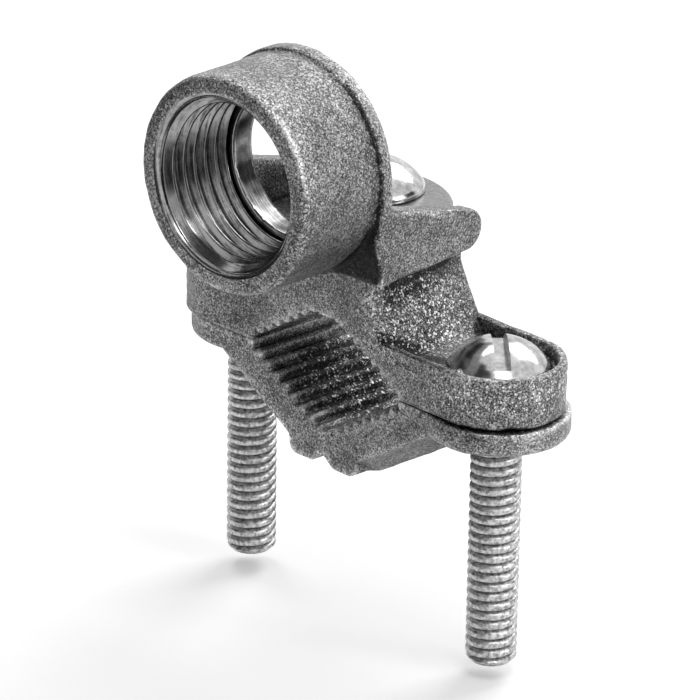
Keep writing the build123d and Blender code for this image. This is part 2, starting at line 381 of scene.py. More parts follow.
@dataclass(frozen=True)
class PlatedSteel(Finish):
    """Steel under bright zinc plating: near mirror where it is smooth, with painted shade down in a
    thread.

    The eye sees hard white and black reflections, small handling marks and thread roots greyed by
    painted shade.
    """

    name: str
    tones: Tones
    mark_mm: float
    roughness: float
    rough_spread: float
    bump_mm: float
    bump_strength: float = 0.5
    metallic: float = 1.0
    root: str = "2E2E2E"
    root_shade: float = 0.0
    root_power: float = 3.0

    def paint(self, tree: NodeTree, place: Links) -> tuple[Links, Links]:
        """Adds the finish's own nodes, as the base class says."""
        mark_look = {"Scale": per_mm(self.mark_mm), "Detail": 4.0, "Roughness": 0.6}
        marks = add_node(tree, "TexNoise", mark_look, place)
        colour = fill_ramp(add_node(tree, "ValToRGB", links={"Fac": marks}), self.tones)
        # Painted shade: a thread's roots mix towards the root colour, more the deeper they lie.
        if self.root_shade:
            depth = add_node(tree, "Attribute", {".attribute_name": "thread_depth"})
            shade = depth.outputs["Fac"]
            for work, value in (("POWER", self.root_power), ("MULTIPLY", self.root_shade)):
                shade = add_node(tree, "Math", {".operation": work, 1: value}, {0: shade})
            root = {".data_type": "RGBA", 7: linear(self.root)}
            colour = add_node(tree, "Mix", root, {0: shade, 6: colour}).outputs[2]
        span = {
            "To Min": self.roughness - self.rough_spread,
            "To Max": self.roughness + self.rough_spread,
        }
        rough = add_node(tree, "MapRange", span, {"Value": marks})
        return {"Height": marks}, {"Base Color": colour, "Roughness": rough}


# Mesh work shared by the pieces


def unit(value: float) -> float:
    """Limits a value to the range from 0 to 1."""
    return min(max(value, 0.0), 1.0)


def add_object(bm: BMesh, name: str, materials: list[Material]) -> Object:
    """Turns a bmesh into an object of the scene.

    Args:
        bm: The mesh, in metres in the row frame. It is freed here.
        name: The object's name.
        materials: Its materials, in the order of its faces' material numbers.

    Returns:
        The new object.
    """
    mesh = bpy.data.meshes.new(name)
    bm.to_mesh(mesh)
    bm.free()
    for material in materials:
        mesh.materials.append(material)
    thing = bpy.data.objects.new(name, mesh)
    bpy.context.scene.collection.objects.link(thing)
    return thing


def finish_piece(
    bm: BMesh,
    name: str,
    body: Body,
    materials: list[Material],
    smooth_deg: float,
) -> Object:
    """Turns a bmesh into a finished object that rides on its body.

    Args:
        bm: The mesh, in metres in the row frame. It is freed here.
        name: The piece's name.
        body: The body that it rides on.
        materials: Its materials, in the order of its faces' material numbers.
        smooth_deg: Edges sharper than this stay crisp.

    Returns:
        The new object.
    """
    for face in bm.faces:
        face.smooth = True
    piece = add_object(bm, name, materials)
    piece.data.set_sharp_from_angle(angle=math.radians(smooth_deg))
    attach(piece, body.value)
    LOG.info("%s: %d faces on %s", name, len(piece.data.polygons), body.value)
    return piece


# Cast pieces


def fade(gap: float) -> float:
    """Gives 1 well inside a patch and falls to 0 at its edge, where the gap is 1."""
    return unit(FADE_STEEPNESS * (1 - gap))


@dataclass(frozen=True)
class Blemish:
    """A small lump, chip or dip on a casting."""

    place_mm: Triple
    move_mm: Triple
    reach_mm: float
    far: float = 3.0

    def shift(self, point_mm: Vector) -> Vector:
        """Gives how far a point moves, in mm."""
        gap = (point_mm - Vector(self.place_mm)).length / self.reach_mm
        return Vector(self.move_mm) * math.exp(-gap * gap) if gap < self.far else Vector()


@dataclass(frozen=True)
class Spot:
    """A soft-edged patch of a casting, as an ellipsoid."""

    place_mm: Triple
    reach_mm: Triple
    value: float

    def share(self, point_mm: Vector) -> float:
        """Gives the patch's value at a point, fading to 0 at its edge."""
        gaps = zip(point_mm, self.place_mm, self.reach_mm)
        return self.value * fade(sum(((a - b) / r) ** 2 for a, b, r in gaps))


@dataclass(frozen=True)
class Streak:
    """A line of painted shade between two points of a casting, lighter tone where its value is
    below zero.
    """

    start_mm: Triple
    end_mm: Triple
    reach_mm: float
    value: float

    def share(self, point_mm: Vector) -> float:
        """Gives the streak's value at a point, fading to 0 at its edge."""
        start = Vector(self.start_mm)
        along = Vector(self.end_mm) - start
        place = unit((point_mm - start).dot(along) / along.length_squared)
        return self.value * fade((point_mm - start - along * place).length / self.reach_mm)


@dataclass(frozen=True)
class Ring:
    """A line of painted shade round the hub, over part of its turn, lighter tone where its value is
    below zero.
    """

    y_mm: float
    radius_mm: float
    reach_mm: float
    value: float
    from_deg: float
    to_deg: float
    fade_deg: float = 10.0

    def share(self, point_mm: Vector) -> float:
        """Gives the ring's value at a point, fading to 0 at its edge and ends."""
        straight = HUB.straight(point_mm * MM)
        gap = math.hypot(HUB.radius(straight) - self.radius_mm, straight.y - self.y_mm)
        angle = math.degrees(math.atan2(straight.z - HUB.height_mm, straight.x))
        inside = min(angle - self.from_deg, self.to_deg - angle) / self.fade_deg
        return self.value * unit(inside) * fade(gap / self.reach_mm)


@dataclass(frozen=True)
class Band:
    """A band round the hub's axis, between two places along it and two radii."""

    y_mm: tuple[float, float]
    radius_mm: tuple[float, float]

    def __call__(self, point_mm: Vector) -> bool:
        """Tells whether a point lies in the band."""
        straight = HUB.straight(point_mm * MM)
        spans = ((straight.y, self.y_mm), (HUB.radius(straight), self.radius_mm))
        return all(low < value < high for value, (low, high) in spans)


# Farther than any part of the casting.
BEYOND = 100.0
HUB_MOUTH = Band((-BEYOND, -24.9), (11.9, BEYOND))
HUB_CORNER = Band((-15.2, -13.2), (13.0, 14.7))
MACHINED_BORE = Band((-BEYOND, -12.05), (-1.0, 11.32))
STOP_LAND = Band((-14.6, -12.0), (-1.0, 9.3))
RELIEF = Band((-17.3, -15.3), (10.6, 11.4))


@dataclass(frozen=True)
class Swarf:
    """What the cutters left in a band of the bore, darker towards its top."""

    where: Band
    value: float
    patch_mm: float
    top_gain: float = 0.0
    top_mm: float = 8.0
    uneven: float = 0.6

    def share(self, point_mm: Vector) -> float:
        """Gives how dark the swarf makes a point."""
        if not self.where(point_mm):
            return 0.0
        height = (HUB.straight(point_mm * MM).z - HUB.height_mm) / self.top_mm
        level = self.value + self.top_gain * min(max(height, -1.0), 1.0)
        return level + self.uneven * noise.noise(point_mm / self.patch_mm)


@dataclass(frozen=True)
class ToothEnds:
    """The ends of the teeth, near the front and rear faces of the jaws."""

    upper_apex_mm: float = 7.1
    lower_apex_mm: float = -8.1
    opening_half_mm: float = 13.7
    jaw_half_mm: float = 8.2
    end_mm: float = 0.8
    band_mm: float = 1.4
    across_mm: tuple[float, float] = (1.0, 13.2)

    def __call__(self, point_mm: Vector) -> bool:
        """Tells whether a point lies on a tooth's end."""
        apex = self.upper_apex_mm if point_mm.z > 0 else self.lower_apex_mm
        edge = apex * (1 - abs(point_mm.x) / self.opening_half_mm)
        at_end = abs(abs(point_mm.y) - self.jaw_half_mm) < self.end_mm
        low, high = self.across_mm
        return at_end and abs(point_mm.z - edge) < self.band_mm and low < abs(point_mm.x) < high


TOOTH_ENDS = ToothEnds()


@dataclass(frozen=True)
class PanelFoot:
    """The corners between the sides of the block and the pockets' floors."""

    spans_mm: tuple[tuple[float, float], ...] = ((10.9, 15.2), (-5.0, 6.4), (4.3, 8.0))

    def __call__(self, point_mm: Vector) -> bool:
        """Tells whether a point lies in one of the corners."""
        place = (abs(point_mm.x), point_mm.y, point_mm.z)
        return all(low < value < high for value, (low, high) in zip(place, self.spans_mm))


@dataclass(frozen=True)
class Softening:
    """A place where tumbling or the mould has rounded a casting's edges or corners."""

    where: Callable[[Vector], bool]
    passes: int

    def apply(self, bm: BMesh) -> None:
        """Relaxes the vertices in the place, which is tested in mm."""
        verts = [v for v in bm.verts if self.where(v.co / MM)]
        for _ in range(self.passes):
            bmesh.ops.smooth_vert(
                bm, verts=verts, factor=0.5, use_axis_x=True, use_axis_y=True, use_axis_z=True
            )


@dataclass(frozen=True)
class CalmPlane:
    """Keeps a level face true, such as a screw's seat or the face where the jaws meet."""

    height_mm: float
    left_share: float
    spread_mm: float = 0.3

    def __call__(self, point_mm: Vector) -> float:
        """Gives the share of the unevenness left at a point."""
        gap = abs(point_mm.z - self.height_mm) / self.spread_mm
        return self.left_share if gap < 1 else 1.0


@dataclass(frozen=True)
class CalmBore:
    """Keeps the machined bore true."""

    rear_mm: float = -11.9
    radius_mm: float = 11.35
    spread_mm: float = 0.5

    def __call__(self, point_mm: Vector) -> float:
        """Gives the share of the unevenness left at a point."""
        straight = HUB.straight(point_mm * MM)
        behind = straight.y > self.rear_mm
        return 1.0 if behind else unit((HUB.radius(straight) - self.radius_mm) / self.spread_mm)


@dataclass(frozen=True)
class Seam:
    """The lower jaw's parting face, raised to nearly touch the upper jaw except at the right."""

    rise_mm: float = 0.243
    height_mm: float = -0.25
    reach_mm: float = 0.3
    open_mm: tuple[float, float] = (18.0, 25.0)
    patch_mm: float = 1.7
    lump_mm: float = 1.1
    lump_share: float = 0.45
    least_share: float = 0.9
    patch_share: float = 0.4

    def lift(self, point_mm: Vector) -> float:
        """Gives how far the face is raised at a point, in mm."""
        if abs(point_mm.z - self.height_mm) > self.reach_mm:
            return 0.0
        left, right = self.open_mm
        share = unit((right - point_mm.x) / (right - left))
        uneven = 0.5 + 0.5 * noise.noise(point_mm / self.patch_mm)
        loose = self.lump_share * max(noise.noise(point_mm / self.lump_mm), 0.0)
        share *= self.least_share + self.patch_share * uneven
        return self.rise_mm * min(share + loose, 1.0)


@dataclass(frozen=True)
class FlushEdge:
    """The upper jaw's lower edge, squared at the left, where the jaws meet flush."""

    round_mm: float = 0.4
    right_end_mm: float = -9.0
    fill: float = 0.97
    least_level: float = 0.05

    def move(self, point_mm: Vector, normal: Vector) -> Vector:
        """Gives how far a point of the rounded edge moves out, in mm."""
        rise = self.round_mm - point_mm.z
        level = Vector((normal.x, normal.y, 0.0))
        if point_mm.x > self.right_end_mm or rise <= 0 or level.length < self.least_level:
            return Vector()
        rise = min(rise, self.round_mm)
        inset = self.round_mm - math.sqrt(max(self.round_mm**2 - rise**2, 0.0))
        return level.normalized() * inset * self.fill


def drop_flaps(bm: BMesh) -> None:
    """Deletes faces that hang on a closed surface by one side."""
    while flaps := [
        f
        for f in bm.faces
        if any(e.is_boundary for e in f.edges) and any(len(e.link_faces) > 2 for e in f.edges)
    ]:
        bmesh.ops.delete(bm, geom=flaps, context="FACES")


@dataclass
class CastPiece:
    """One casting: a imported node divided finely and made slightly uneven, as moulded metal is."""

    node: str
    body: Body
    edge_mm: float = 0.5
    face_mm2: float = 0.1
    rounds: int = 9
    flat_deg: float = 8.0
    sliver_mm: float = 0.04
    wave_mm: float = 0.09
    wave_size_mm: float = 3.2
    ripple_mm: float = 0.045
    ripple_size_mm: float = 0.9
    ripple_offset: Triple = (31.7, 5.2, 11.9)
    plain_ripple: float = 0.6
    coarse_ripple: float = 1.4
    corner_spread: int = 3
    corner_blend: float = 0.6
    corner_gain: float = 5.0
    plain_coarse: float = 0.12
    edge_wear: float = 0.38
    machined: Band | None = None
    rear_facing: float = 0.5
    seam: Seam | None = None
    flush: FlushEdge | None = None
    calm: list[Callable[[Vector], float]] = field(default_factory=list)
    softened: list[Softening] = field(default_factory=list)
    blemishes: list[Blemish] = field(default_factory=list)
    coarse_spots: list[Spot] = field(default_factory=list)
    # Patches and lines of painted shade, painted highlight, lighter tone and swarf, added into the
    # tone.
    marks: list[Spot | Streak | Ring | Swarf] = field(default_factory=list)

    def divided(self) -> BMesh:
        """Returns a merged copy of the node, its large faces halved until they are small."""
        bm = bmesh.new()
        bm.from_mesh(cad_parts[self.node].data)
        bmesh.ops.remove_doubles(bm, verts=bm.verts, dist=NEAR)
        limit, room = self.edge_mm * MM, self.face_mm2 * MM * MM
        flat = math.radians(self.flat_deg)
        for _ in range(self.rounds):
            large = (f for f in bm.faces if f.calc_area() > room)
            longest = dict.fromkeys(max(f.edges, key=lambda e: e.calc_length()) for f in large)
            halved = [e for e in longest if e.calc_length() > limit]
            bmesh.ops.subdivide_edges(bm, edges=halved, cuts=1, use_single_edge=True)
            bmesh.ops.triangulate(bm, faces=[f for f in bm.faces if len(f.verts) > 3])
            even = [e for e in bm.edges if e.is_manifold and e.calc_face_angle(math.pi) < flat]
            bmesh.ops.beautify_fill(bm, faces=bm.faces, edges=even, method="ANGLE")
        bmesh.ops.dissolve_degenerate(bm, dist=self.sliver_mm * MM, edges=bm.edges)
        bmesh.ops.triangulate(bm, faces=[f for f in bm.faces if len(f.verts) > 3])
        drop_flaps(bm)
        return bm

    def unevenness(self, point_mm: Vector) -> float:
        """Gives how far the surface stands out at a point, in mm."""
        wave = noise.noise(point_mm / self.wave_size_mm)
        ripple = noise.noise(point_mm / self.ripple_size_mm + Vector(self.ripple_offset))
        ripple *= self.plain_ripple + self.coarse_ripple * self.coarseness(point_mm)
        return self.wave_mm * wave + self.ripple_mm * ripple

    def roughen(self, bm: BMesh) -> None:
        """Moves the vertices by the unevenness and the blemishes, inside the node's box."""
        low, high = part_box(self.node)
        if self.seam:
            high[2] += self.seam.rise_mm * MM
        for softening in self.softened:
            softening.apply(bm)
        bm.normal_update()
        moves = []
        for vert in bm.verts:
            point = vert.co / MM
            share = min((zone(point) for zone in self.calm), default=1.0)
            shift = vert.normal * self.unevenness(point) * share
            if self.seam:
                shift.z += self.seam.lift(point)
            if self.flush:
                shift += self.flush.move(point, vert.normal)
            for blemish in self.blemishes:
                shift += blemish.shift(point)
            moves.append((vert, vert.co + shift * MM))
        for vert, place in moves:
            vert.co = [min(max(place[i], low[i]), high[i]) for i in range(3)]

    def is_machined(self, face: BMFace) -> bool:
        """Tells whether a face was cut after casting. Faces that look to the rear were not."""
        inside = self.machined and self.machined(face.calc_center_median() / MM)
        return bool(inside) and face.normal.y < self.rear_facing

    def build(self, materials: list[Material]) -> Object:
        """Builds the casting in place of its node.

        Args:
            materials: The finishes in the order of Skin.

        Returns:
            The finished object.
        """
        bm = self.divided()
        bm.normal_update()
        for face in bm.faces:
            face.material_index = (Skin.MACHINED if self.is_machined(face) else Skin.AS_CAST).value
        self.roughen(bm)
        name = f"{self.node}_casting"
        piece = finish_piece(bm, name, self.body, materials, smooth_deg=50.0)
        self.mark_skin(piece.data)
        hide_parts(self.node)
        return piece

    def mark_skin(self, mesh: Mesh) -> None:
        """Writes each vertex's corner depth, coarseness, painted shade with swarf, and wear with
        painted highlights.
        """
        count = len(mesh.vertices)
        place, facing = np.empty((count, 3)), np.empty((count, 3))
        mesh.vertices.foreach_get("co", place.ravel())
        mesh.vertices.foreach_get("normal", facing.ravel())
        ends = np.empty((len(mesh.edges), 2), np.int32)
        mesh.edges.foreach_get("vertices", ends.ravel())
        one, other = np.concatenate([ends, ends[:, ::-1]]).T
        step = place[other] - place[one]
        step /= np.linalg.norm(step, axis=1)[:, None] + 1e-12
        near = np.bincount(one, minlength=count).clip(1)
        hollow = np.bincount(one, (step * facing[one]).sum(1), count) / near
        blend = self.corner_blend
        for _ in range(self.corner_spread):
            around = np.bincount(one, hollow[other], count) / near
            hollow = (1 - blend) * hollow + blend * around
        hollow = np.clip(hollow * self.corner_gain, -1.0, 1.0)
        points = [Vector(point) / MM for point in place]
        marks = np.array([sum(mark.share(point) for mark in self.marks) for point in points])
        teeth = np.array([TOOTH_ENDS(point) for point in points])
        wear = np.where(teeth, 0.0, self.edge_wear)
        layers = {
            "hollow": hollow,
            "coarse": np.array([self.coarseness(point) for point in points]),
            "dirt_and_shade": marks.clip(0.0, None),
            "wear_and_highlight": (-marks).clip(0.0, None) + wear * (-hollow).clip(0.0, None),
        }
        for name, values in layers.items():
            layer = mesh.attributes.new(name, "FLOAT", "POINT")
            layer.data.foreach_set("value", values.astype(np.float32))

    def coarseness(self, point_mm: Vector) -> float:
        """Gives how coarse the skin is at a point, from 0 to 1: the highest of the spots there."""
        return max([self.plain_coarse] + [spot.share(point_mm) for spot in self.coarse_spots])


# Threads and screws


def cut_plane(bm: BMesh, place: Triple, across: Triple, **drop: bool) -> None:
    """Cuts a mesh along a plane.

    Args:
        bm: The mesh.
        place: A point of the plane, in metres.
        across: The plane's normal.
        drop: clear_outer loses the part on the normal's side, clear_inner the other part.
    """
    geom = bm.verts[:] + bm.edges[:] + bm.faces[:]
    bmesh.ops.bisect_plane(bm, geom=geom, dist=CUT_NEAR, plane_co=place, plane_no=across, **drop)


def keep_between(bm: BMesh, low: float, high: float) -> None:
    """Drops what lies above or below two heights, in metres."""
    cut_plane(bm, (0, 0, high), (0, 0, 1), clear_outer=True)
    cut_plane(bm, (0, 0, low), (0, 0, 1), clear_inner=True)


def open_rim(bm: BMesh, height: float) -> list[BMEdge]:
    """Gives the open edges at a height, in metres."""
    open_edges = (e for e in bm.edges if e.is_boundary)
    return [e for e in open_edges if all(abs(v.co.z - height) < NEAR for v in e.verts)]


def axis_distance(vert: BMVert) -> float:
    """Gives a vertex's distance from the Z axis, in metres."""
    return math.hypot(vert.co.x, vert.co.y)


def move_to_distance(vert: BMVert, distance: float) -> None:
    """Moves a vertex level to a distance from the Z axis, in metres."""
    share = distance / axis_distance(vert)
    vert.co.x *= share
    vert.co.y *= share


def spin_line(points: list[Triple], turns: int, steps: int, rise: float, closes: bool) -> BMesh:
    """Spins a line of points round the Z axis.

    Args:
        points: The line, in metres.
        turns: How many turns to make.
        steps: Faces round one turn.
        rise: How far it rises in one turn, in metres.
        closes: Whether the last turn ends on the first.

    Returns:
        The wall, with neighbouring turns merged.
    """
    bm = bmesh.new()
    line = [bm.verts.new(point) for point in points]
    edges = [bm.edges.new(pair) for pair in zip(line, line[1:])]
    bmesh.ops.spin(
        bm,
        geom=line + edges,
        cent=(0, 0, 0),
        axis=(0, 0, 1),
        dvec=(0, 0, rise / steps),
        angle=FULL_TURN * turns,
        steps=steps * turns,
        use_merge=closes,
    )
    bmesh.ops.remove_doubles(bm, verts=bm.verts, dist=NEAR)
    return bm


@dataclass(frozen=True)
class Thread:
    """A right-hand thread, alike on both sides of its crest.

    The rise gives the share of the pitch and of the depth at each point from root to crest.
    """

    rise: Outline
    pitch_mm: float
    root_mm: float
    crest_mm: float
    steps: int

    def wind(self, start_mm: float, length_mm: float) -> BMesh:
        """Winds the thread's wall, with a turn to spare at both ends.

        Args:
            start_mm: Where the thread starts on the Z axis.
            length_mm: How long it is.

        Returns:
            The wall, open at both ends.
        """
        start, depth = (start_mm - self.pitch_mm) * MM, self.crest_mm - self.root_mm
        shape = self.rise + tuple((1 - t, share) for t, share in reversed(self.rise[:-1]))
        points = [
            ((self.root_mm + share * depth) * MM, 0, start + t * self.pitch_mm * MM)
            for t, share in shape
        ]
        turns = math.ceil(length_mm / self.pitch_mm) + 2
        return spin_line(points, turns, self.steps, self.pitch_mm * MM, closes=False)


ROLLED = Thread(
    ((0.0, 0.0), (0.04, 0.1), (0.1, 0.45), (0.18, 0.76), (0.29, 0.94), (0.5, 1.0)),
    pitch_mm=1.27,
    root_mm=2.58,
    crest_mm=3.175,
    steps=40,
)
TAPPED = Thread(
    ((0.0, 0.0), (0.07, 0.03), (0.12, 0.12), (0.38, 0.87), (0.43, 0.97), (0.5, 1.0)),
    pitch_mm=25.4 / 14,
    root_mm=10.7,
    crest_mm=9.65,
    steps=96,
)


@dataclass
class SlottedScrew:
    """A binding-head machine screw with a rolled quarter-inch thread, 20 to the inch."""

    node: str
    body: Body
    seat_mm: Triple
    length_mm: float
    slot_deg: float
    head_radius_mm: float = 6.4
    edge_cut_mm: float = 0.18
    band_mm: float = 0.8
    dome_mm: float = 3.5
    dome_rings: int = 14
    head_steps: int = 96
    slot_width_mm: float = 1.9
    slot_depth_mm: float = 2.2
    wall_facing: float = 0.95
    thread: Thread = ROLLED
    tip_chamfer_mm: float = 0.7
    plain_mm: float = 0.05

    def shank(self) -> BMesh:
        """Returns the threaded shank, from its tip up to the head's seat at height zero."""
        bm = self.thread.wind(-self.length_mm, self.length_mm)
        tip = -self.length_mm * MM
        keep_between(bm, tip, 0.0)
        for vert in bm.verts:
            room = (self.thread.crest_mm - self.tip_chamfer_mm) * MM + (vert.co.z - tip)
            if axis_distance(vert) > room:
                move_to_distance(vert, room)
        for height in (tip, 0.0):
            bmesh.ops.contextual_create(bm, geom=open_rim(bm, height))
        return bm

    def mark_depth(self, bm: BMesh) -> None:
        """Writes how deep in the thread each vertex lies, from 0 at the crest to 1."""
        layer = bm.verts.layers.float.new("thread_depth")
        crest = self.thread.crest_mm
        for vert in bm.verts:
            below = vert.co.z < -self.plain_mm * MM
            depth = (crest - axis_distance(vert) / MM) / (crest - self.thread.root_mm)
            vert[layer] = unit(depth) if below else 0.0

    def head(self) -> BMesh:
        """Returns the domed head with its slot, seated at height zero."""
        band, rise, edge = self.band_mm * MM, self.dome_mm * MM, self.edge_cut_mm * MM
        rim = self.head_radius_mm * MM
        sphere = (rim * rim + rise * rise) / (2 * rise)
        outline = [(0, 0, 0), (rim - edge, 0, 0), (rim, 0, edge)]
        reach = math.asin(rim / sphere)
        for ring in range(self.dome_rings + 1):
            angle = reach * (1 - ring / self.dome_rings)
            height = band + rise - sphere * (1 - math.cos(angle))
            outline.append((sphere * math.sin(angle), 0, height))
        bm = spin_line(outline, 1, self.head_steps, 0.0, closes=True)
        self.cut_slot(bm, band + rise - self.slot_depth_mm * MM)
        bmesh.ops.recalc_face_normals(bm, faces=bm.faces)
        return bm

    def cut_slot(self, bm: BMesh, floor: float) -> None:
        """Opens the driver slot along X down to a floor height, in metres."""
        half = self.slot_width_mm * MM / 2
        cut_plane(bm, (0, half, 0), (0, 1, 0))
        cut_plane(bm, (0, -half, 0), (0, 1, 0))
        cut_plane(bm, (0, 0, floor), (0, 0, 1))
        centres = [(face, face.calc_center_median()) for face in bm.faces]
        inside = [face for face, c in centres if abs(c.y) < half and c.z > floor]
        bmesh.ops.delete(bm, geom=inside, context="FACES")
        corners = {
            (v.co.x > 0, v.co.y > 0): v
            for v in bm.verts
            if v.is_boundary and abs(v.co.z - floor) < NEAR and abs(abs(v.co.y) - half) < NEAR
        }
        walls = [
            bm.edges.new((corners[(False, side)], corners[(True, side)])) for side in (False, True)
        ]
        for wall_y, closing in zip((-half, half), walls):
            open_edges = (e for e in bm.edges if e.is_boundary)
            rim = [e for e in open_edges if all(abs(v.co.y - wall_y) < NEAR for v in e.verts)]
            bmesh.ops.contextual_create(bm, geom=rim + [closing])
        ends = [e for e in open_rim(bm, floor) if e not in walls]
        bmesh.ops.contextual_create(bm, geom=ends + walls)

    def is_slot_wall(self, face: BMFace) -> bool:
        """Tells whether a face of the head is a wall of its slot, before the head is turned."""
        off = abs(face.calc_center_median().y) - self.slot_width_mm * MM / 2
        return abs(face.normal.y) > self.wall_facing and abs(off) < NEAR

    def build(self, materials: list[Material]) -> Object:
        """Builds the screw in place of its node.

        Args:
            materials: The finishes in the order of Plating.

        Returns:
            The finished object.
        """
        bm = self.shank()
        self.mark_depth(bm)
        head = self.head()
        for face in bm.faces[:] + [f for f in head.faces if self.is_slot_wall(f)]:
            face.material_index = Plating.DULL.value
        turn = Matrix.Rotation(math.radians(self.slot_deg), 3, "Z")
        bmesh.ops.rotate(head, verts=head.verts, cent=(0, 0, 0), matrix=turn)
        part = bpy.data.meshes.new("head")
        head.to_mesh(part)
        head.free()
        bm.from_mesh(part)
        bpy.data.meshes.remove(part)
        bmesh.ops.recalc_face_normals(bm, faces=bm.faces)
        bmesh.ops.translate(bm, verts=bm.verts, vec=Vector(self.seat_mm) * MM)
        name = f"{self.node}_turned"
        piece = finish_piece(bm, name, self.body, materials, smooth_deg=40.0)
        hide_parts(self.node)
        return piece


@dataclass(frozen=True)
class PaintedDarkReflection:
    """Painted dark reflection on the left side of the hub's thread, mirroring the shaded far wall
    of the bore.

    Top and foot are heights in the thread, as shares of its inner radius, with down as +Y.
    """

    value: float = 0.55
    top: float = 0.45
    top_fade: float = 5.0
    foot: float = 0.8
    foot_fade: float = 2.0
    side_fade: float = 1.5
    patch_mm: float = 1.1
    uneven: float = 0.25

    def share(self, point: Vector, radius: float) -> float:
        """Gives how dark the painted reflection makes a point round the Z axis, from 0 to 1."""
        side, low = -point.x / math.hypot(point.x, point.y), point.y / radius
        shade = unit(self.top_fade * (low + self.top)) * unit(self.foot_fade * (self.foot - low))
        shade *= self.value * unit(self.side_fade * side)
        return unit(shade + self.uneven * noise.noise(point / (self.patch_mm * MM)))


@dataclass
class HubThread:
    """The half-inch pipe thread cut in the hub, 14 to the inch."""

    name: str = "hub_thread"
    thread: Thread = TAPPED
    outer_mm: float = 10.76
    length_mm: float = 10.8
    mouth_gap_mm: float = 0.55
    chamfer_mm: float = 11.3
    dark_reflection: PaintedDarkReflection = PaintedDarkReflection()

    def build(self, material: Material) -> Object:
        """Builds the thread as a closed ring in the bore and returns it."""
        bm = self.thread.wind(0.0, self.length_mm)
        front, rear = self.mouth_gap_mm * MM, self.length_mm * MM
        keep_between(bm, front, rear)
        for vert in bm.verts:
            cone = min(self.chamfer_mm * MM - vert.co.z, self.thread.root_mm * MM)
            if axis_distance(vert) < cone:
                move_to_distance(vert, cone)
        loops = []
        for height in (front, rear):
            wide = bmesh.ops.extrude_edge_only(bm, edges=open_rim(bm, height))["geom"]
            for vert in (v for v in wide if isinstance(v, BMVert)):
                move_to_distance(vert, self.outer_mm * MM)
            loops += [e for e in wide if isinstance(e, BMEdge) and e.is_boundary]
        bmesh.ops.bridge_loops(bm, edges=loops)
        bmesh.ops.recalc_face_normals(bm, faces=bm.faces)
        # Painted dark reflection on the thread's left side, in the layer that darkens the machined
        # finish.
        layer = bm.verts.layers.float.new("dirt_and_shade")
        for vert in bm.verts:
            vert[layer] = self.dark_reflection.share(vert.co, self.thread.crest_mm * MM)
        lie = Matrix.Rotation(-math.pi / 2, 4, "X")
        lift = Matrix.Translation(Vector((0, HUB.mouth_y_mm, HUB.height_mm)) * MM)
        bmesh.ops.transform(bm, verts=bm.verts, matrix=HUB.matrix() @ lift @ lie)
        return finish_piece(bm, self.name, Body.CLAMP, [material], smooth_deg=50.0)


# Studio


def add_sheet(
    name: str, sides_mm: tuple[float, float], place: Matrix, material: Material
) -> Object:
    """Adds a flat rectangle to the scene.

    Args:
        name: Its name.
        sides_mm: Its two sides.
        place: Takes it from lying level at the origin to its place.
        material: Its material.

    Returns:
        The new object.
    """
    bm = bmesh.new()
    bmesh.ops.create_grid(bm, x_segments=1, y_segments=1, size=0.5)
    width, height = sides_mm
    bmesh.ops.scale(bm, verts=bm.verts, vec=(width * MM, height * MM, 1))
    bmesh.ops.transform(bm, verts=bm.verts, matrix=place)
    return add_object(bm, name, [material])


@dataclass(frozen=True)
class Camera:
    """The camera at the photograph's place."""

    azimuth_deg: float = 46.834
    elevation_deg: float = 21.916
    roll_deg: float = 0.963
    place_mm: Triple = (413.44, -391.61, 229.52)
    focal_px: float = 4975.4
    image_px: float = 700.0
    sensor_mm: float = 36.0

    def build(self) -> None:
        """Adds the camera and makes it the scene's own."""
        turn, lift = math.radians(self.azimuth_deg), math.radians(self.elevation_deg)
        right = Vector((math.cos(turn), math.sin(turn), 0))
        ahead = Vector(
            (-math.sin(turn) * math.cos(lift), math.cos(turn) * math.cos(lift), -math.sin(lift))
        )
        right = Matrix.Rotation(-math.radians(self.roll_deg), 3, ahead) @ right
        data = bpy.data.cameras.new("photo_camera")
        data.sensor_width = self.sensor_mm
        data.lens = self.focal_px / self.image_px * self.sensor_mm
        camera = bpy.data.objects.new("photo_camera", data)
        axes = Matrix((right, right.cross(ahead), -ahead)).transposed().to_4x4()
        camera.matrix_world = Matrix.Translation(Vector(self.place_mm) * MM) @ axes
        bpy.context.scene.collection.objects.link(camera)
        bpy.context.scene.camera = camera


@dataclass(frozen=True)
class Lamp:
    """A soft square lamp that points at the part."""

    name: str
    place_mm: Triple
    side_mm: float
    watts: float
    target_mm: Triple = (0.0, -4.0, 6.0)

    def build(self) -> None:
        """Adds the lamp."""
        data = bpy.data.lights.new(self.name, "AREA")
        data.shape = "SQUARE"
        data.size = self.side_mm * MM
        data.energy = self.watts
        lamp = bpy.data.objects.new(self.name, data)
        place = Vector(self.place_mm) * MM
        aim = Vector(self.target_mm) * MM - place
        turn = aim.to_track_quat("-Z", "Y").to_matrix().to_4x4()
        lamp.matrix_world = Matrix.Translation(place) @ turn
        bpy.context.scene.collection.objects.link(lamp)


@dataclass(frozen=True)
class DarkCard:
    """A dark studio card, which only reflections see."""

    name: str
    place_mm: Triple
    sides_mm: tuple[float, float]
    lies_flat: bool = False

    def build(self, material: Material) -> None:
        """Adds the card, facing the part or lying on the floor."""
        place = Vector(self.place_mm) * MM
        facing = Vector((0, 0, 1)) if self.lies_flat else -place
        turn = facing.to_track_quat("Z", "Y").to_matrix().to_4x4()
        card = add_sheet(self.name, self.sides_mm, Matrix.Translation(place) @ turn, material)
        card.visible_camera = False
        card.visible_shadow = False
        card.visible_diffuse = False


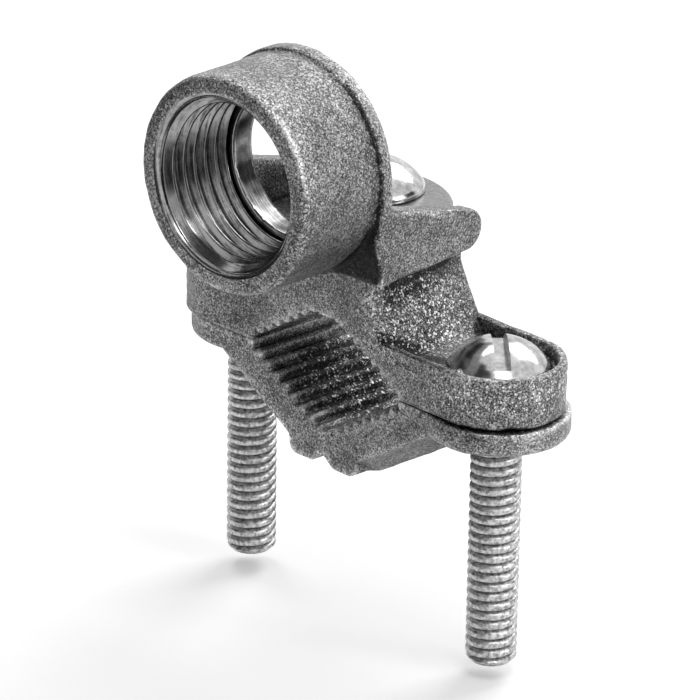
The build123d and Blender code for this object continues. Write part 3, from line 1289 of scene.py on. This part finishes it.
@dataclass(frozen=True)
class Studio:
    """Pale floor, white surroundings, soft lamps and the dark cards that metal reflects."""

    light_colour: str = "FFFFFF"
    ambient: float = 0.42
    floor_mm: float = -35.7
    floor_side_mm: float = 6000.0
    floor_colour: str = "F2F2F2"
    floor_glow: float = 0.2
    card_colour: str = "3C3C3C"
    lamps: tuple[Lamp, ...] = (
        Lamp("rear_lamp", (-60.0, 430.0, 430.0), 340.0, 1.7),
        Lamp("left_lamp", (-330.0, 90.0, 540.0), 220.0, 0.8),
        Lamp("right_lamp", (270.0, -150.0, 520.0), 220.0, 0.8),
        Lamp("side_lamp", (560.0, 160.0, 160.0), 200.0, 1.0),
    )
    cards: tuple[DarkCard, ...] = (
        DarkCard("card_left", (-82.0, -78.0, 34.0), (190.0, 88.0)),
        DarkCard("card_floor", (-58.0, 38.0, -35.4), (120.0, 56.0), lies_flat=True),
        DarkCard("card_front", (18.0, -118.0, 2.0), (80.0, 66.0)),
        DarkCard("card_above", (-72.0, -266.0, 393.0), (460.0, 210.0)),
        DarkCard("card_rear", (318.0, 353.0, 130.0), (230.0, 200.0)),
    )

    def seen_share(self, tree: NodeTree) -> NodeSocket:
        """Gives 1 for rays of the camera, of reflections and of glass, else 0."""
        path = add_node(tree, "LightPath")
        share = path.outputs["Is Camera Ray"]
        for kind in ("Is Glossy Ray", "Is Transmission Ray"):
            rays = {0: share, 1: path.outputs[kind]}
            either = add_node(tree, "Math", {".operation": "MAXIMUM"}, rays)
            share = either.outputs[0]
        return share

    def world(self) -> None:
        """Makes the white surroundings."""
        world = bpy.data.worlds.new("studio_world")
        bpy.context.scene.world = world
        tree = empty_tree(world)
        span = {"To Min": self.ambient, "To Max": 1.0}
        strength = add_node(tree, "MapRange", span, {"Value": self.seen_share(tree)})
        white = {"Color": linear(self.light_colour)}
        light = add_node(tree, "Background", white, {"Strength": strength})
        add_node(tree, "OutputWorld", links={"Surface": light})

    def floor(self) -> None:
        """Makes the pale floor, which keeps the part's shadow."""
        material = bpy.data.materials.new("studio_floor")
        tree = empty_tree(material)
        paint = add_node(tree, "BsdfDiffuse", {"Color": linear(self.floor_colour)})
        weight = {".operation": "MULTIPLY", 1: self.floor_glow}
        strength = add_node(tree, "Math", weight, {0: self.seen_share(tree)})
        white = {"Color": linear(self.light_colour)}
        glow = add_node(tree, "Emission", white, {"Strength": strength})
        both = add_node(tree, "AddShader", links={0: paint, 1: glow})
        add_node(tree, "OutputMaterial", links={"Surface": both})
        sides = (self.floor_side_mm, self.floor_side_mm)
        place = Matrix.Translation((0, 0, self.floor_mm * MM))
        floor = add_sheet("studio_floor", sides, place, material)

    def card_material(self) -> Material:
        """Makes the cards' even dark tone and returns it."""
        material = bpy.data.materials.new("card_black")
        tree = empty_tree(material)
        look = {"Color": linear(self.card_colour), "Strength": 1.0}
        tone = add_node(tree, "Emission", look)
        add_node(tree, "OutputMaterial", links={"Surface": tone})
        return material

    def build(self) -> None:
        """Sets up the whole studio."""
        self.world()
        self.floor()
        for lamp in self.lamps:
            lamp.build()
        dark = self.card_material()
        for card in self.cards:
            card.build(dark)
        bpy.context.scene.view_settings.view_transform = "Standard"
        Camera().build()


UPPER_JAW = CastPiece(
    "upper_jaw",
    Body.CLAMP,
    machined=MACHINED_BORE,
    flush=FlushEdge(),
    calm=[CalmBore(), CalmPlane(4.5, 0.0), CalmPlane(0.0, 0.05, 0.05)],
    softened=[
        Softening(TOOTH_ENDS, 2),
        Softening(PanelFoot(), 30),
        Softening(HUB_MOUTH, 6),
        Softening(HUB_CORNER, 4),
    ],
    blemishes=[
        Blemish((22.6, -7.2, 6.4), (0.0, 0.2, 0.6), 0.4),
        Blemish((29.1, -4.7, 0.0), (0.0, 0.0, 0.4), 0.9),
        Blemish((30.0, -3.5, 0.0), (0.0, 0.0, 0.25), 0.6),
        Blemish((24.6, -8.2, 0.0), (0.0, 0.0, 0.16), 0.7),
        Blemish((26.9, -7.2, 0.0), (0.0, 0.0, 0.24), 0.5),
        Blemish((20.2, -8.9, 0.0), (0.0, 0.0, 0.12), 0.6),
    ],
    coarse_spots=[
        Spot((11.0, -2.0, 10.0), (5.5, 11.0, 8.5), 1.05),
        Spot((0.0, -24.0, 28.5), (17.0, 6.0, 17.0), 0.7),
        Spot((0.0, -16.0, 28.5), (17.0, 10.0, 17.0), 0.45),
        Spot((23.0, 0.0, 4.0), (10.0, 12.0, 6.0), 0.8),
        Spot((0.0, 0.0, 4.0), (14.0, 8.0, 5.5), 0.9),
        Spot((0.0, -4.0, 21.0), (12.5, 9.0, 5.0), 0.8),
    ],
    marks=[
        # Painted shade on the flange's face and the block's front under the hub, and along their
        # corner.
        Spot((11.2, -13.3, 17.8), (4.2, 2.0, 3.4), 0.9),
        Spot((4.0, -12.0, 16.5), (9.0, 5.0, 2.6), 0.4),
        Spot((12.4, -13.2, 19.5), (1.9, 1.0, 4.6), 0.8),
        # Painted shade in the right pocket by its front wall and along the panel's foot above the
        # rim.
        Spot((14.0, -6.2, 4.8), (5.5, 2.2, 1.8), 0.9),
        Streak((10.0, -7.9, 7.1), (10.8, -5.9, 6.0), 0.9, 1.0),
        Streak((10.8, -5.9, 6.0), (11.7, -3.6, 4.8), 0.9, 1.0),
        Streak((11.7, -3.6, 4.8), (15.5, -3.0, 4.5), 1.1, 0.9),
        # Painted shade in the crease under the trough wall's edge.
        Streak((7.4, -4.6, 12.3), (7.15, 5.2, 13.2), 0.7, 0.9),
        Streak((7.8, -5.0, 11.0), (7.2, 5.2, 12.4), 1.8, 0.32),
        # Painted shade on the recessed panel and in the jaw's opening.
        Spot((10.0, -1.0, 8.5), (4.5, 7.6, 5.0), 0.2),
        Spot((0.0, -1.6, 3.6), (13.8, 6.4, 4.6), 0.36),
        # Painted shade in the corner between hub and flange.
        Ring(-14.0, 14.1, 0.7, 0.5, -60.0, 62.0),
        # Painted highlight: the glint along the fillet between hub and flange.
        Ring(-13.7, 14.6, 0.5, -1.0, 18.0, 34.0),
        Ring(-26.1, 13.9, 0.8, -0.7, 5.0, 62.0),
        Streak((14.3, -12.4, 25.6), (13.9, -2.0, 22.6), 0.5, -0.25),
        Swarf(STOP_LAND, 0.5, 1.6),
        Swarf(RELIEF, 0.6, 1.3, top_gain=0.35),
    ],
)
LOWER_JAW = CastPiece(
    "lower_jaw",
    Body.JAW,
    seam=Seam(),
    calm=[CalmPlane(-0.25, 0.05, 0.05)],
    softened=[Softening(TOOTH_ENDS, 2)],
    coarse_spots=[Spot((0.0, 1.0, -4.0), (14.0, 8.8, 5.5), 1.1)],
    marks=[
        # Painted shade in the jaw's opening and on the ear's ledge under the upper jaw.
        Spot((-4.0, -0.1, -4.5), (12.0, 8.3, 5.5), 0.5),
        Spot((23.0, -5.0, -0.4), (9.5, 8.0, 1.4), 0.35),
    ],
)
SCREWS = (
    SlottedScrew("clamp_screw_left", Body.LEFT_SCREW, (-22.1, 0.0, 4.55), 38.1, 68.0),
    SlottedScrew("clamp_screw_right", Body.RIGHT_SCREW, (22.1, 0.0, 4.55), 38.1, 141.0),
    SlottedScrew("wire_screw", Body.WIRE_SCREW, (-0.5414, -0.1213, 21.55), 10.8, 136.0, 6.5),
)
SCREW_HEAD = PlatedSteel(
    "bright_zinc_plate", ((0.25, "868686"), (0.66, "DCDCDC")), 1.6, 0.17, 0.06, 0.006
)
SCREW_SHANK = PlatedSteel(
    "dull_zinc_plate", ((0.35, "848484"), (0.6, "D6D6D6")), 0.45, 0.4, 0.06, 0.04, root_shade=0.5
)
WIRE_PLATE = PlatedSteel(
    "satin_plated_sheet", ((0.35, "7A7A7A"), (0.6, "989898")), 0.5, 0.36, 0.05, 0.006
)


def main() -> None:
    """Builds the castings, the screws and the thread, gives the plate its finish and builds the
    studio.
    """
    logging.basicConfig(level=logging.INFO, format="%(name)s: %(message)s")
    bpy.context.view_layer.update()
    cast_finishes = [CastZinc().make(), MachinedZinc().make()]
    screw_finishes = [SCREW_HEAD.make(), SCREW_SHANK.make()]
    plate_finish = WIRE_PLATE.make()

    UPPER_JAW.build(cast_finishes)
    LOWER_JAW.build(cast_finishes)
    HubThread().build(cast_finishes[Skin.MACHINED.value])
    for screw in SCREWS:
        screw.build(screw_finishes)
    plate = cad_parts["wire_plate"]
    plate.data.materials.clear()
    plate.data.materials.append(plate_finish)
    LOG.info("wire_plate: packed node in satin plate")
    Studio().build()


if __name__ == "__main__":
    main()
